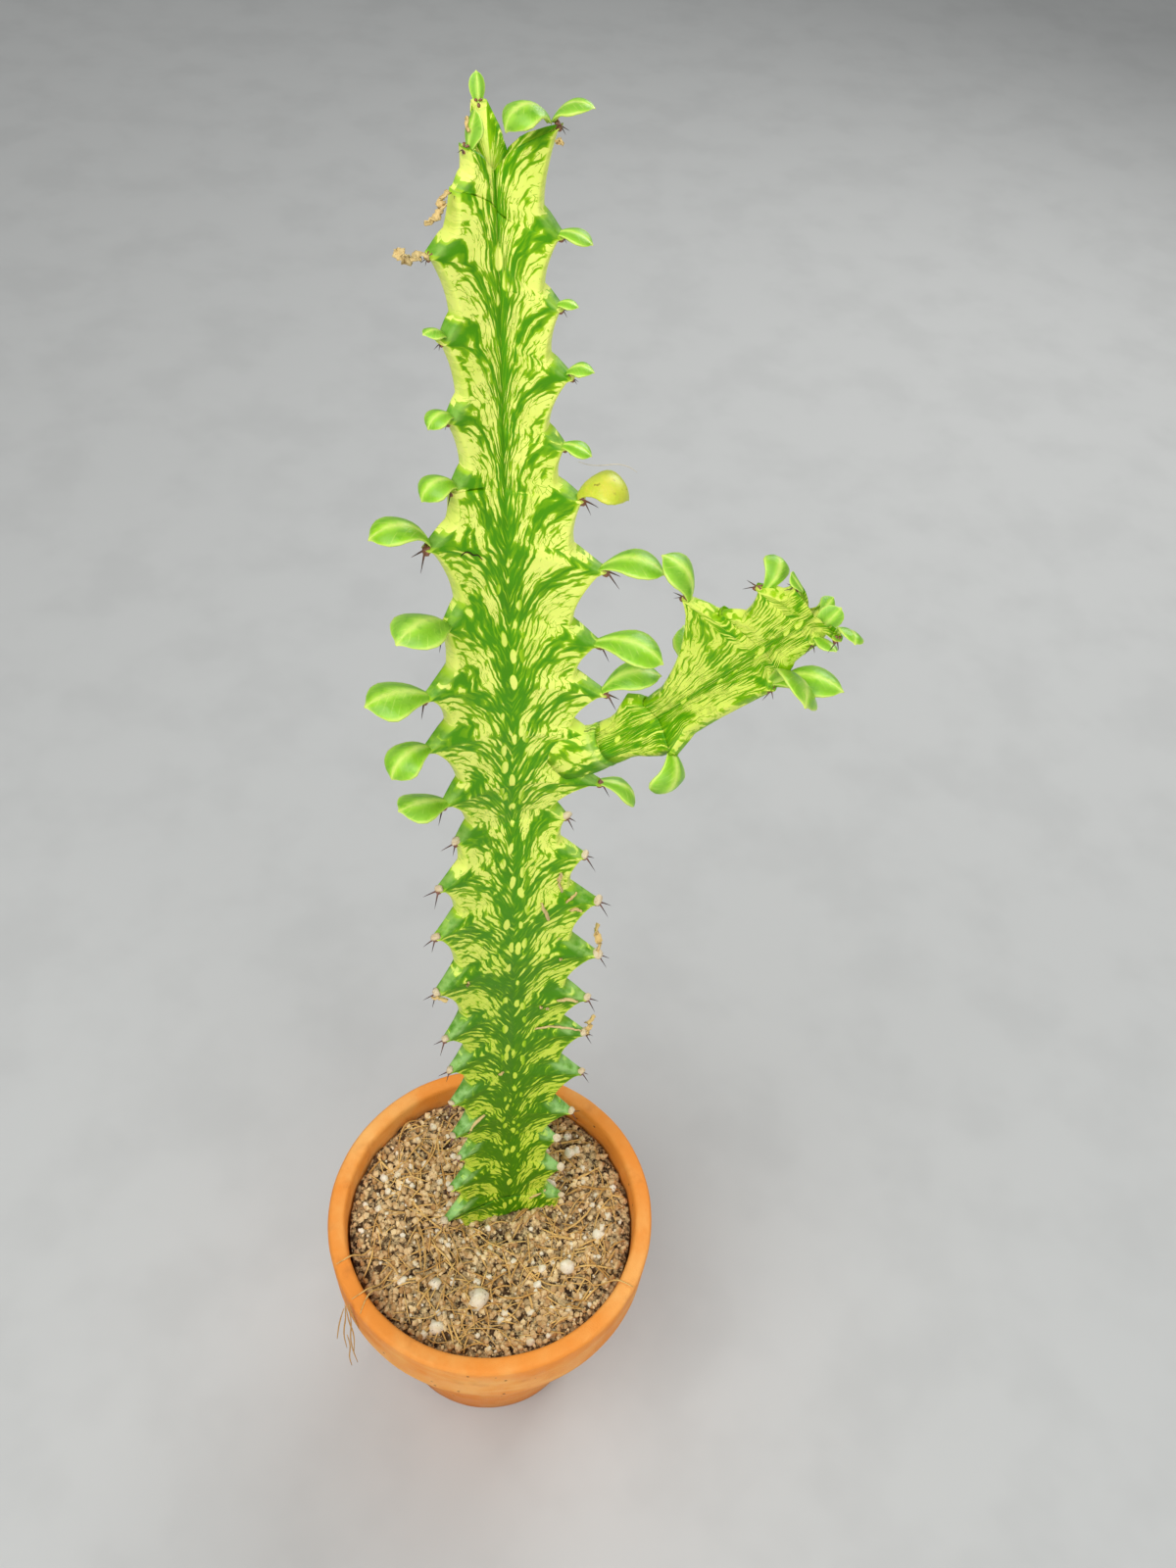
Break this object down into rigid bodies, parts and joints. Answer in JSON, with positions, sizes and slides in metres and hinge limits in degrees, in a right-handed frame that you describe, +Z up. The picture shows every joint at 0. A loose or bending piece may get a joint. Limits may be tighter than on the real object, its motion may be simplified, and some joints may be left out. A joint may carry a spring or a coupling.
{
  "type": "potted variegated dragon bones plant",
  "caption": "Upright winged succulent stem with scalloped, marbled ribs, small leaves and a side branch, growing in a collared clay pot of gritty soil.",
  "frame": {"origin": "centre of the clay pot's foot, on the surface that it stands on", "axes": "+Z up along the plant, +X towards the side branch, -Y towards the stem face that the picture shows"},
  "size_m": [0.1221, 0.108, 0.4603],
  "materials": {
    "terracotta": "matte",
    "soil": "matte",
    "stem": "satin",
    "branch": "satin"
  },
  "bodies": {
    "root": {"terracotta_pot": "terracotta", "potting_soil": "soil", "main_stem": "stem", "side_branch": "branch"}
  },
  "joints": []
}
